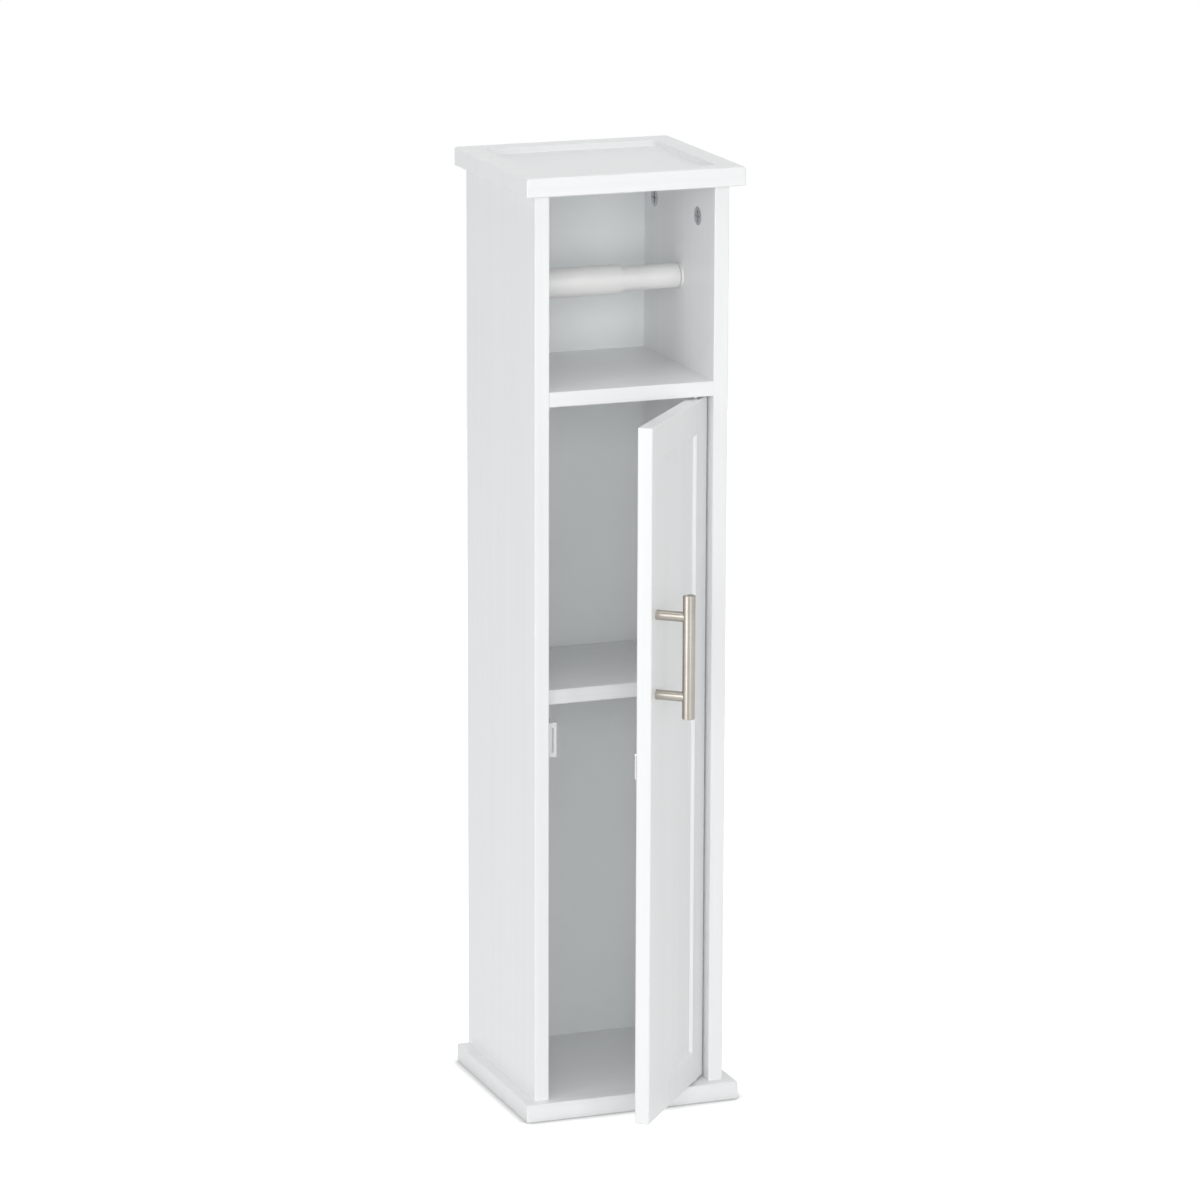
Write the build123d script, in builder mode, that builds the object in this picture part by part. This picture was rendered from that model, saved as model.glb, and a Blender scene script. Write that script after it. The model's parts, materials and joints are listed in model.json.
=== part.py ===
from build123d import *
import os
from math import cos, pi, sin

# Slim freestanding bathroom cabinet. A sprung spindle crosses the open compartment at the top, and a
# pivoting door closes the two bays below it. All sizes are in millimetres. The origin is the centre of
# the base board's underside, the front faces -Y, the door pivots on the +X side and +Z is up.

# Top and base boards
board_width = 182.0
board_depth = 172.0
board_thickness = 15.0
overall_height = 766.0
board_edge_chamfer = 0.8
tray_border = 18.5
tray_depth = 5.0

# Side panels, back panel and shelves
set_in = 10.0
panel_thickness = 12.0
panel_edge_chamfer = 0.5
back_thickness = 3.0
back_lip = 5.0
groove_depth = 4.0
roll_compartment_height = 156.0
roll_shelf_thickness = 12.0
upper_bay_height = 234.0
middle_shelf_thickness = 12.0
middle_shelf_set_back = 22.0

# Clearances: a glued, pressed or screwed piece in its bore, a loose board between its neighbours,
# a turning pin in its bush, and a moving piece beside a still one
snug = 0.05
board_play = 0.5
running_play = 0.1
moving_gap = 0.3

# Cam fittings: a disc with a cross recess turns behind the head of a bolt
cam_front_from_edge = 37.0
cam_rear_from_edge = 30.0
cam_distance = 30.0
cam_radius = 7.5
cam_length = 10.0
cam_face = 2.5
cam_pocket_radius = 4.6
cam_mouth = 5.2
cam_cross_length = 9.0
cam_cross_width = 1.6
cam_cross_depth = 1.5
bolt_bore_radius = 3.5
bolt_radius = 2.5
bolt_thread_length = 9.0
bolt_head_radius = 3.2
bolt_head_length = 4.0

# Wooden dowels
dowel_radius = 3.0
dowel_short_side = 8.0
dowel_long_side = 16.0
dowel_from_front_edge = 84.0

# Countersunk screws through the base board into the side panels
base_screw_length = 45.0
base_screw_radius = 2.0
base_screw_head_radius = 4.0
base_screw_sunk = 0.5
base_screw_front_from_edge = 30.0
base_screw_rear_from_edge = 30.0

# Supports under the middle shelf
pin_radius = 2.5
pin_depth = 8.0
pin_plate_length = 8.0
pin_plate_width = 9.0
pin_plate_thickness = 1.6
pin_web_thickness = 3.0
pin_drop = 4.0
pin_front_from_edge = 39.0
pin_rear_from_edge = 25.0

# Door and its pivots
door_thickness = 12.0
door_edge_chamfer = 0.8
door_free_gap = 1.5
door_hinge_gap = 1.4
door_end_gap = 2.0
door_border = 26.0
door_recess_depth = 2.2
door_angle = 50.2
pivot_from_edge = 11.6
pivot_pin_radius = 2.0
pivot_pin_in_door = 20.0
bush_cup_radius = 4.0
bush_cup_depth = 8.0
bush_bore_depth = 7.0
bush_flange_radius = 5.0
bush_collar_radius = 3.2
bush_collar_height = 0.4

# Bar handle on two posts
handle_centre_from_door_top = 182.1
handle_length = 99.0
handle_radius = 5.0
handle_chamfer = 0.6
handle_post_pitch = 64.0
handle_post_radius = 4.0
handle_stand_off = 26.5
handle_from_edge = 13.0
handle_screw_radius = 2.0
handle_screw_in_post = 10.0
handle_screw_head_radius = 4.0
handle_screw_head_height = 2.4

# Magnetic catch on the left panel and its strike plate on the door
catch_below_shelf = 4.0
catch_height = 28.0
catch_width = 12.0
catch_depth = 18.0
catch_corner_chamfer = 0.8
catch_front_wall = 1.2
catch_ear_length = 9.0
catch_ear_thickness = 3.0
catch_ear_depth = 12.0
catch_screw_radius = 1.5
catch_screw_length = 11.0
catch_screw_head_radius = 3.0
catch_screw_head_height = 1.8
pole_thickness = 1.2
pole_height = 20.5
pole_depth = 16.0
pole_proud = 0.5
magnet_thickness = 3.0
magnet_stack_from_panel = 3.5
strike_width = 16.0
strike_height = 22.0
strike_thickness = 1.2
strike_corner_radius = 1.5
strike_from_edge = 0.5
strike_screw_from_edge = 13.0
strike_screw_radius = 1.4
strike_screw_length = 8.0
strike_screw_head_radius = 2.6
strike_screw_head_height = 1.2

# Sprung spindle and its two sockets
spindle_below_top_board = 84.0
spindle_from_front_edge = 76.0
socket_flange_radius = 10.0
socket_flange_thickness = 1.5
socket_cup_radius = 6.0
socket_cup_depth = 8.0
socket_bore_depth = 8.0
tip_radius = 4.0
tip_length = 7.0
sleeve_radius = 12.0
sleeve_length = 84.0
sleeve_wall = 1.7
sleeve_end_wall = 3.0
plunger_play = 0.3
plunger_wall = 1.6
plunger_end_wall = 3.0
plunger_overlap = 40.0
spindle_travel = 9.0
spindle_end_chamfer = 1.0
lug_length = 4.0
lug_width = 3.0
lug_height = 1.4
lug_from_mouth = 8.0
spring_wire_radius = 0.6
spring_radius = 7.0
spring_turns = 7
spring_steps = 12
spigot_radius = 5.6
spigot_length = 5.0

# Cross recess in the screw heads
cross_width = 0.8
cross_share = 1.2
cross_depth = 0.9

# Positions worked out from the sizes
outer_x = board_width / 2 - set_in
inner_x = outer_x - panel_thickness
middle_x = (outer_x + inner_x) / 2
front_y = set_in - board_depth / 2
rear_y = board_depth / 2
back_y = rear_y - back_lip - back_thickness
panel_bottom = board_thickness
panel_top = overall_height - board_thickness
panel_height = panel_top - panel_bottom
roll_shelf_top = panel_top - roll_compartment_height
roll_shelf_bottom = roll_shelf_top - roll_shelf_thickness
roll_shelf_middle = roll_shelf_top - roll_shelf_thickness / 2
middle_shelf_top = roll_shelf_bottom - upper_bay_height
middle_shelf_bottom = middle_shelf_top - middle_shelf_thickness
spindle_height = panel_top - spindle_below_top_board
spindle_y = front_y + spindle_from_front_edge
cam_rows = [front_y + cam_front_from_edge, rear_y - cam_rear_from_edge]
dowel_y = front_y + dowel_from_front_edge
shelf_cam_y, shelf_dowel_y = cam_rows
screw_rows = [front_y + base_screw_front_from_edge, rear_y - base_screw_rear_from_edge]
pin_rows = [front_y + pin_front_from_edge, rear_y - pin_rear_from_edge]
pin_z = middle_shelf_bottom - pin_drop

# The door's own planes: its floor plane stands at the pivot line and is turned by the opening
# angle, and its face plane looks out of the door's front. Along the door, x runs to the hinge edge.
pivot_x = inner_x - door_hinge_gap - pivot_from_edge
pivot_y = front_y + door_thickness / 2
door_floor = Plane(origin=(pivot_x, pivot_y, 0), z_dir=(0, 0, 1)).rotated((0, 0, door_angle))
door_face = Plane(
    origin=door_floor.from_local_coords((0, -door_thickness / 2, 0)),
    x_dir=door_floor.x_dir,
    z_dir=-door_floor.y_dir,
)
door_inside = Plane(
    origin=door_floor.from_local_coords((0, door_thickness / 2, 0)),
    x_dir=-door_floor.x_dir,
    z_dir=door_floor.y_dir,
)
door_bottom = panel_bottom + door_end_gap
door_top = roll_shelf_bottom - door_end_gap
door_height = door_top - door_bottom
door_width = 2 * inner_x - door_free_gap - door_hinge_gap
door_hinge_x = pivot_from_edge
door_free_x = door_hinge_x - door_width
door_middle_x = (door_hinge_x + door_free_x) / 2
door_middle_z = (door_bottom + door_top) / 2
handle_x = door_free_x + handle_from_edge
handle_centre_height = door_top - handle_centre_from_door_top
post_heights = [
    handle_centre_height - handle_post_pitch / 2,
    handle_centre_height + handle_post_pitch / 2,
]
handle_screw_length = door_thickness + handle_screw_in_post
bush_flange_thickness = door_end_gap - moving_gap
pivot_pin_out = door_end_gap + bush_bore_depth - 2 * moving_gap

# Catch positions, with the door closed on it
strike_back_y = front_y + door_thickness + strike_thickness
catch_front_y = strike_back_y + moving_gap + pole_proud
catch_rear_y = catch_front_y + catch_depth
magnet_x = magnet_stack_from_panel - inner_x + pole_thickness + magnet_thickness / 2
pole_offset = (magnet_thickness + pole_thickness) / 2
stack_front_y = catch_front_y + catch_front_wall
stack_rear_y = catch_front_y - pole_proud + pole_depth
catch_ear_y = (catch_front_y + catch_rear_y) / 2
ear_offset = catch_height / 2 + catch_ear_length / 2
catch_centre_height = middle_shelf_bottom - catch_below_shelf - ear_offset - catch_ear_length / 2

# Spindle positions along X
shoulder_x = inner_x - socket_flange_thickness - moving_gap
sleeve_mouth_x = sleeve_length - shoulder_x
sleeve_bore_radius = sleeve_radius - sleeve_wall
plunger_radius = sleeve_bore_radius - plunger_play
plunger_start_x = sleeve_mouth_x - plunger_overlap
plunger_length = shoulder_x - plunger_start_x
lug_start_x = sleeve_mouth_x - lug_from_mouth - lug_length
slot_length = lug_length + spindle_travel + 2 * moving_gap
spring_start_x = sleeve_end_wall - shoulder_x + moving_gap + spring_wire_radius
spring_end_x = plunger_start_x - moving_gap - spring_wire_radius
spring_length = spring_end_x - spring_start_x


def inner_face(side, y, z):
    """A plane on a side panel's inner face, its x axis up. Side is -1 for left and 1 for right."""
    return Plane(origin=(side * inner_x, y, z), x_dir=(0, 0, 1), z_dir=(-side, 0, 0))


def panel_end(side, y, z, up):
    """A plane on the end of a side panel, in the middle of its thickness, facing up or down."""
    return Plane(origin=(side * middle_x, y, z), x_dir=(1, 0, 0), z_dir=(0, 0, up))


def shelf_end(side, y):
    """A plane on the end of the roll shelf, in the middle of its thickness."""
    return Plane(origin=(side * inner_x, y, roll_shelf_middle), x_dir=(0, 1, 0), z_dir=(side, 0, 0))


def shelf_underside(side, y):
    """A plane under the roll shelf at a cam's centre, its x axis towards the side panel."""
    centre = (side * (inner_x - cam_distance), y, roll_shelf_bottom)
    return Plane(origin=centre, x_dir=(side, 0, 0), z_dir=(0, 0, -1))


def turn_outline(seat, outline):
    """A turned form: the half outline, as radius and height above the seat, goes round its normal."""
    with BuildSketch(Plane(origin=seat.origin, x_dir=seat.x_dir, z_dir=-seat.y_dir)) as half:
        with BuildLine():
            Polyline(*outline, close=True)
        make_face()
    revolve(half.sketch, axis=Axis(seat.origin, seat.z_dir))


def cut_cross(face, length, width, depth):
    """A cross recess cut down from a face."""
    with BuildSketch(face) as cross:
        Rectangle(length, width)
        Rectangle(width, length)
    extrude(cross.sketch, amount=-depth, mode=Mode.SUBTRACT)


def draw_countersunk_screw(seat, radius, head_radius, length):
    """A countersunk screw whose flat head lies in the seat plane and points out of it."""
    outline = [
        (0, 0),
        (head_radius, 0),
        (radius, radius - head_radius),
        (radius, -length),
        (0, -length),
    ]
    turn_outline(seat, outline)
    cut_cross(seat, cross_share * head_radius, cross_width, cross_depth)


def draw_pan_screw(seat, radius, head_radius, head_height, length):
    """A pan head screw whose head sits on the seat plane and points out of it."""
    outline = [
        (0, head_height),
        (head_radius - head_height / 2, head_height),
        (head_radius, 0),
        (radius, 0),
        (radius, -length),
        (0, -length),
    ]
    turn_outline(seat, outline)
    cut_cross(seat.offset(head_height), cross_share * head_radius, cross_width, cross_depth)


def draw_cam_nut(face):
    """A cam nut flush with the face. The plane's x axis points at the bolt that it grips."""
    with BuildSketch(face) as disc:
        Circle(cam_radius)
    extrude(disc.sketch, amount=-cam_length)
    with BuildSketch(face.offset(-cam_face)) as pocket:
        Circle(cam_pocket_radius)
        with Locations((cam_radius / 2, 0)):
            Rectangle(cam_radius, cam_mouth)
    extrude(pocket.sketch, amount=cam_face - cam_length, mode=Mode.SUBTRACT)
    cut_cross(face, cam_cross_length, cam_cross_width, cam_cross_depth)


def draw_cam_bolt(seat):
    """A cam bolt that is screwed in below the seat and reaches up to the middle of its cam nut."""
    outline = [
        (0, -bolt_thread_length),
        (bolt_radius, -bolt_thread_length),
        (bolt_radius, cam_distance - bolt_head_length / 2),
        (bolt_head_radius, cam_distance - bolt_head_length / 2),
        (bolt_head_radius, cam_distance + bolt_head_length / 2),
        (0, cam_distance + bolt_head_length / 2),
    ]
    turn_outline(seat, outline)


def draw_dowel(seat):
    """A dowel, its short side below the seat and its long side above it."""
    with BuildSketch(seat.offset(-dowel_short_side)) as section:
        Circle(dowel_radius)
    extrude(section.sketch, amount=dowel_short_side + dowel_long_side)


def draw_hinge_bush(seat, rim_radius, rim_height):
    """A bush bored for the door's pin, its cup below the seat and its rim on it."""
    bore = pivot_pin_radius + running_play
    outline = [
        (0, -bush_cup_depth),
        (bush_cup_radius, -bush_cup_depth),
        (bush_cup_radius, 0),
        (rim_radius, 0),
        (rim_radius, rim_height),
        (bore, rim_height),
        (bore, -bush_bore_depth),
        (0, -bush_bore_depth),
    ]
    turn_outline(seat, outline)


def draw_pivot_pin(seat):
    """A steel pin pressed into the door below the seat, that stands out of it into the bush."""
    outline = [
        (0, -pivot_pin_in_door),
        (pivot_pin_radius, -pivot_pin_in_door),
        (pivot_pin_radius, pivot_pin_out),
        (0, pivot_pin_out),
    ]
    turn_outline(seat, outline)


def draw_spindle_socket(seat):
    """A flanged cup pressed into the side panel, that carries one tip of the spindle."""
    bore = tip_radius + running_play
    outline = [
        (0, -socket_cup_depth),
        (socket_cup_radius, -socket_cup_depth),
        (socket_cup_radius, 0),
        (socket_flange_radius, 0),
        (socket_flange_radius - socket_flange_thickness / 2, socket_flange_thickness),
        (bore, socket_flange_thickness),
        (bore, socket_flange_thickness - socket_bore_depth),
        (0, socket_flange_thickness - socket_bore_depth),
    ]
    turn_outline(seat, outline)


def draw_side_panel(side):
    """A side panel with its groove for the back and its borings for every fitting."""
    with BuildSketch(Plane.XY.offset(panel_bottom)) as plan:
        with Locations((side * middle_x, (front_y + rear_y) / 2)):
            Rectangle(panel_thickness, rear_y - front_y)
        chamfer(plan.vertices(), panel_edge_chamfer)
        with Locations((side * (inner_x + groove_depth / 2), back_y + back_thickness / 2)):
            Rectangle(groove_depth, back_thickness + 2 * snug, mode=Mode.SUBTRACT)
    extrude(plan.sketch, amount=panel_height)
    for y in cam_rows:
        with Locations(inner_face(side, y, panel_top - cam_distance)):
            Hole(cam_radius + snug, cam_length + snug)
        with Locations(panel_end(side, y, panel_top, 1)):
            Hole(bolt_bore_radius, cam_distance)
    with Locations(panel_end(side, dowel_y, panel_top, 1), panel_end(side, dowel_y, panel_bottom, -1)):
        Hole(dowel_radius + snug, dowel_long_side + snug)
    for y in screw_rows:
        with Locations(panel_end(side, y, panel_bottom, -1)):
            Hole(base_screw_radius + snug, base_screw_length - board_thickness)
    for y in pin_rows:
        with Locations(inner_face(side, y, pin_z)):
            Hole(pin_radius + snug, pin_depth + snug)
    with Locations(inner_face(side, shelf_cam_y, roll_shelf_middle)):
        Hole(bolt_radius + snug, bolt_thread_length + snug)
    with Locations(inner_face(side, shelf_dowel_y, roll_shelf_middle)):
        Hole(dowel_radius + snug, dowel_short_side + snug)
    with Locations(inner_face(side, spindle_y, spindle_height)):
        Hole(socket_cup_radius + snug, socket_cup_depth + snug)


# Base board, drilled from beneath for the screws and from above for the dowels and the bush
with BuildPart() as base_board:
    with BuildSketch(Plane.XY):
        Rectangle(board_width, board_depth)
    extrude(amount=board_thickness)
    chamfer(base_board.edges(), board_edge_chamfer)
    for side in (-1, 1):
        for y in screw_rows:
            with Locations(panel_end(side, y, 0, -1)):
                CounterSinkHole(
                    base_screw_radius + snug,
                    base_screw_head_radius + base_screw_sunk + snug,
                    counter_sink_angle=90,
                )
        with Locations(panel_end(side, dowel_y, panel_bottom, 1)):
            Hole(dowel_radius + snug, dowel_short_side + snug)
    with Locations((pivot_x, pivot_y, panel_bottom)):
        Hole(bush_cup_radius + snug, bush_cup_depth + snug)
base_board.part.label = "base_board"

# Top board with its tray recess, drilled from beneath for the dowels and the cam bolts
with BuildPart() as top_board:
    with BuildSketch(Plane.XY.offset(panel_top)):
        Rectangle(board_width, board_depth)
    extrude(amount=board_thickness)
    chamfer(top_board.edges(), board_edge_chamfer)
    with BuildSketch(Plane.XY.offset(overall_height)):
        Rectangle(board_width - 2 * tray_border, board_depth - 2 * tray_border)
    extrude(amount=-tray_depth, mode=Mode.SUBTRACT)
    for side in (-1, 1):
        for y in cam_rows:
            with Locations(panel_end(side, y, panel_top, -1)):
                Hole(bolt_radius + snug, bolt_thread_length + snug)
        with Locations(panel_end(side, dowel_y, panel_top, -1)):
            Hole(dowel_radius + snug, dowel_short_side + snug)
top_board.part.label = "top_board"

# Left side panel, which also carries the catch
with BuildPart() as left_side_panel:
    draw_side_panel(-1)
    for z in (catch_centre_height - ear_offset, catch_centre_height + ear_offset):
        with Locations(inner_face(-1, catch_ear_y, z)):
            Hole(catch_screw_radius + snug, catch_screw_length - catch_ear_thickness)
left_side_panel.part.label = "left_side_panel"

# Right side panel, on the door's pivot side
with BuildPart() as right_side_panel:
    draw_side_panel(1)
right_side_panel.part.label = "right_side_panel"

# Back panel, a thin board held in the grooves of the side panels
with BuildPart() as back_panel:
    with BuildSketch(Plane.XY.offset(panel_bottom)):
        with Locations((0, back_y + back_thickness / 2)):
            Rectangle(2 * (inner_x + groove_depth - snug), back_thickness)
    extrude(amount=panel_height)
back_panel.part.label = "back_panel"

# Fixed shelf under the open compartment, with cam nuts in its underside and the door's upper bush
with BuildPart() as roll_shelf:
    with BuildSketch(Plane.XY.offset(roll_shelf_bottom)):
        with Locations((0, (front_y + back_y) / 2)):
            Rectangle(2 * inner_x, back_y - front_y)
    extrude(amount=roll_shelf_thickness)
    chamfer(roll_shelf.edges().filter_by(Axis.X).group_by(Axis.Y)[0], panel_edge_chamfer)
    for side in (-1, 1):
        with Locations(shelf_underside(side, shelf_cam_y)):
            Hole(cam_radius + snug, cam_length + snug)
        with Locations(shelf_end(side, shelf_cam_y)):
            Hole(bolt_bore_radius, cam_distance)
        with Locations(shelf_end(side, shelf_dowel_y)):
            Hole(dowel_radius + snug, dowel_long_side + snug)
    with Locations(Plane(origin=(pivot_x, pivot_y, roll_shelf_bottom), z_dir=(0, 0, -1))):
        Hole(bush_cup_radius + snug, bush_cup_depth + snug)
roll_shelf.part.label = "roll_shelf"

# Loose middle shelf, laid on its four supports
with BuildPart() as middle_shelf:
    middle_shelf_front = front_y + middle_shelf_set_back
    middle_shelf_rear = back_y - board_play
    with BuildSketch(Plane.XY.offset(middle_shelf_bottom)):
        with Locations((0, (middle_shelf_front + middle_shelf_rear) / 2)):
            Rectangle(2 * (inner_x - board_play), middle_shelf_rear - middle_shelf_front)
    extrude(amount=middle_shelf_thickness)
    chamfer(middle_shelf.edges().filter_by(Axis.X).group_by(Axis.Y)[0], panel_edge_chamfer)
middle_shelf.part.label = "middle_shelf"

# Shelf supports: a peg in the side panel, a plate under the shelf and a web that stiffens it
with BuildPart() as shelf_pins:
    for side in (-1, 1):
        for y in pin_rows:
            seat = inner_face(side, y, pin_z)
            with BuildSketch(seat):
                Circle(pin_radius)
            extrude(amount=-pin_depth)
            with BuildSketch(seat):
                with Locations((pin_drop - pin_plate_thickness / 2, 0)):
                    Rectangle(pin_plate_thickness, pin_plate_width)
            extrude(amount=pin_plate_length)
            with BuildSketch(Plane(origin=seat.origin, x_dir=seat.z_dir, z_dir=(0, -side, 0))):
                with BuildLine():
                    Polyline(
                        (0, -pin_radius),
                        (0, pin_drop - pin_plate_thickness),
                        (pin_plate_length, pin_drop - pin_plate_thickness),
                        close=True,
                    )
                make_face()
            extrude(amount=pin_web_thickness / 2, both=True)
shelf_pins.part.label = "shelf_pins"

# Cam nuts in the side panels, under the top board
with BuildPart() as top_cam_nuts:
    for side in (-1, 1):
        for y in cam_rows:
            draw_cam_nut(inner_face(side, y, panel_top - cam_distance))
top_cam_nuts.part.label = "top_cam_nuts"

# Cam bolts screwed up into the top board
with BuildPart() as top_cam_bolts:
    for side in (-1, 1):
        for y in cam_rows:
            draw_cam_bolt(panel_end(side, y, panel_top, -1))
top_cam_bolts.part.label = "top_cam_bolts"

# Cam nuts in the underside of the roll shelf
with BuildPart() as shelf_cam_nuts:
    for side in (-1, 1):
        draw_cam_nut(shelf_underside(side, shelf_cam_y))
shelf_cam_nuts.part.label = "shelf_cam_nuts"

# Cam bolts screwed into the side panels, for the roll shelf
with BuildPart() as shelf_cam_bolts:
    for side in (-1, 1):
        draw_cam_bolt(inner_face(side, shelf_cam_y, roll_shelf_middle))
shelf_cam_bolts.part.label = "shelf_cam_bolts"

# Dowels between the side panels and the top board
with BuildPart() as top_dowels:
    for side in (-1, 1):
        draw_dowel(panel_end(side, dowel_y, panel_top, -1))
top_dowels.part.label = "top_dowels"

# Dowels between the side panels and the base board
with BuildPart() as base_dowels:
    for side in (-1, 1):
        draw_dowel(panel_end(side, dowel_y, panel_bottom, 1))
base_dowels.part.label = "base_dowels"

# Dowels between the side panels and the roll shelf
with BuildPart() as shelf_dowels:
    for side in (-1, 1):
        draw_dowel(inner_face(side, shelf_dowel_y, roll_shelf_middle))
shelf_dowels.part.label = "shelf_dowels"

# Screws through the base board, sunk below its underside
with BuildPart() as base_screws:
    for side in (-1, 1):
        for y in screw_rows:
            head = panel_end(side, y, base_screw_sunk, -1)
            length = base_screw_length - base_screw_sunk
            draw_countersunk_screw(head, base_screw_radius, base_screw_head_radius, length)
base_screws.part.label = "base_screws"

# Bushes for the door's pivot pins: the door rests on the lower one's flange, and the upper one has
# only a low collar
with BuildPart() as lower_hinge_bush:
    lower_bush_seat = Plane(origin=(pivot_x, pivot_y, panel_bottom), z_dir=(0, 0, 1))
    draw_hinge_bush(lower_bush_seat, bush_flange_radius, bush_flange_thickness)
lower_hinge_bush.part.label = "lower_hinge_bush"

with BuildPart() as upper_hinge_bush:
    upper_bush_seat = Plane(origin=(pivot_x, pivot_y, roll_shelf_bottom), z_dir=(0, 0, -1))
    draw_hinge_bush(upper_bush_seat, bush_collar_radius, bush_collar_height)
upper_hinge_bush.part.label = "upper_hinge_bush"

# Sockets for the spindle's tips
with BuildPart() as left_spindle_socket:
    draw_spindle_socket(inner_face(-1, spindle_y, spindle_height))
left_spindle_socket.part.label = "left_spindle_socket"

with BuildPart() as right_spindle_socket:
    draw_spindle_socket(inner_face(1, spindle_y, spindle_height))
right_spindle_socket.part.label = "right_spindle_socket"

# Catch body: a block with an ear above and below. The magnet and its poles go in from the rear, and
# the poles come out through two slots in the front wall
with BuildPart() as catch_body:
    catch_plan = Plane.XY.offset(catch_centre_height - catch_height / 2)
    with BuildSketch(catch_plan):
        with Locations((catch_width / 2 - inner_x, catch_ear_y)):
            Rectangle(catch_width, catch_depth)
    block = extrude(amount=catch_height)
    chamfer(block.faces().sort_by(Axis.X)[-1].edges(), catch_corner_chamfer)
    with BuildSketch(Plane.XY.offset(catch_centre_height)):
        with Locations((catch_ear_thickness / 2 - inner_x, catch_ear_y)):
            Rectangle(catch_ear_thickness, catch_ear_depth)
    extrude(amount=ear_offset + catch_ear_length / 2, both=True)
    with BuildSketch(Plane.XY.offset(catch_centre_height)):
        with Locations((magnet_x, (stack_front_y + catch_rear_y) / 2)):
            Rectangle(2 * (pole_thickness + snug) + magnet_thickness, catch_rear_y - stack_front_y)
        with Locations((magnet_x - pole_offset, catch_front_y), (magnet_x + pole_offset, catch_front_y)):
            Rectangle(pole_thickness + 2 * snug, 2 * catch_front_wall)
    extrude(amount=pole_height / 2 + snug, both=True, mode=Mode.SUBTRACT)
    for z in (catch_centre_height - ear_offset, catch_centre_height + ear_offset):
        with Locations(inner_face(-1, catch_ear_y, z).offset(catch_ear_thickness)):
            Hole(catch_screw_radius + snug, catch_ear_thickness)
catch_body.part.label = "catch_body"

# Magnet block between the two poles, behind the front wall
with BuildPart() as catch_magnet:
    magnet_front_y = stack_front_y + snug
    with BuildSketch(Plane.XY.offset(catch_centre_height)):
        with Locations((magnet_x, (magnet_front_y + stack_rear_y) / 2)):
            Rectangle(magnet_thickness, stack_rear_y - magnet_front_y)
    extrude(amount=pole_height / 2, both=True)
catch_magnet.part.label = "catch_magnet"

# Steel pole plates on both sides of the magnet, just proud of the body
with BuildPart() as catch_poles:
    for x in (magnet_x - pole_offset, magnet_x + pole_offset):
        with BuildSketch(Plane.XY.offset(catch_centre_height)):
            with Locations((x, catch_front_y - pole_proud + pole_depth / 2)):
                Rectangle(pole_thickness, pole_depth)
        extrude(amount=pole_height / 2, both=True)
catch_poles.part.label = "catch_poles"

# Screws through the catch's ears
with BuildPart() as catch_screws:
    for z in (catch_centre_height - ear_offset, catch_centre_height + ear_offset):
        draw_pan_screw(
            inner_face(-1, catch_ear_y, z).offset(catch_ear_thickness),
            catch_screw_radius,
            catch_screw_head_radius,
            catch_screw_head_height,
            catch_screw_length,
        )
catch_screws.part.label = "catch_screws"

# Door panel with a shallow recess with bevelled sides in its front, bored for its pivot pins and its
# handle
with BuildPart() as door_panel:
    with BuildSketch(door_floor.offset(door_bottom)):
        with Locations((door_middle_x, 0)):
            Rectangle(door_width, door_thickness)
    extrude(amount=door_height)
    chamfer(door_panel.edges(), door_edge_chamfer)
    for depth in (0, door_recess_depth):
        with BuildSketch(door_face.offset(-depth)):
            with Locations((door_middle_x, door_middle_z)):
                border = door_border + depth
                Rectangle(door_width - 2 * border, door_height - 2 * border)
    loft(mode=Mode.SUBTRACT)
    with Locations(
        Plane(origin=(pivot_x, pivot_y, door_top), z_dir=(0, 0, 1)),
        Plane(origin=(pivot_x, pivot_y, door_bottom), z_dir=(0, 0, -1)),
    ):
        Hole(pivot_pin_radius + snug, pivot_pin_in_door + snug)
    with Locations(door_face):
        with Locations(*[(handle_x, z) for z in post_heights]):
            Hole(handle_screw_radius + running_play, door_thickness)
    with Locations(door_inside):
        with Locations((-door_free_x - strike_screw_from_edge, catch_centre_height)):
            Hole(strike_screw_radius + snug, strike_screw_length)
door_panel.part.label = "door_panel"

# Pivot pins pressed into the door's top and bottom edges
with BuildPart() as upper_hinge_pin:
    draw_pivot_pin(Plane(origin=(pivot_x, pivot_y, door_top), z_dir=(0, 0, 1)))
upper_hinge_pin.part.label = "upper_hinge_pin"

with BuildPart() as lower_hinge_pin:
    draw_pivot_pin(Plane(origin=(pivot_x, pivot_y, door_bottom), z_dir=(0, 0, -1)))
lower_hinge_pin.part.label = "lower_hinge_pin"

# Round handle bar, with chamfered ends
with BuildPart() as handle_bar:
    with BuildSketch(door_floor.offset(handle_centre_height - handle_length / 2)):
        with Locations((handle_x, -door_thickness / 2 - handle_stand_off)):
            Circle(handle_radius)
    extrude(amount=handle_length)
    chamfer(handle_bar.edges().filter_by(GeomType.CIRCLE), handle_chamfer)
handle_bar.part.label = "handle_bar"

# Handle posts, hollowed at the bar to its own round and tapped for their screws
with BuildPart() as handle_posts:
    with BuildSketch(door_face):
        with Locations(*[(handle_x, z) for z in post_heights]):
            Circle(handle_post_radius)
    extrude(amount=handle_stand_off)
    with BuildSketch(door_floor.offset(handle_centre_height - handle_length / 2)):
        with Locations((handle_x, -door_thickness / 2 - handle_stand_off)):
            Circle(handle_radius + snug)
    extrude(amount=handle_length, mode=Mode.SUBTRACT)
    with BuildSketch(door_face):
        with Locations(*[(handle_x, z) for z in post_heights]):
            Circle(handle_screw_radius + snug)
    extrude(amount=handle_screw_in_post + snug, mode=Mode.SUBTRACT)
handle_posts.part.label = "handle_posts"

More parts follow.
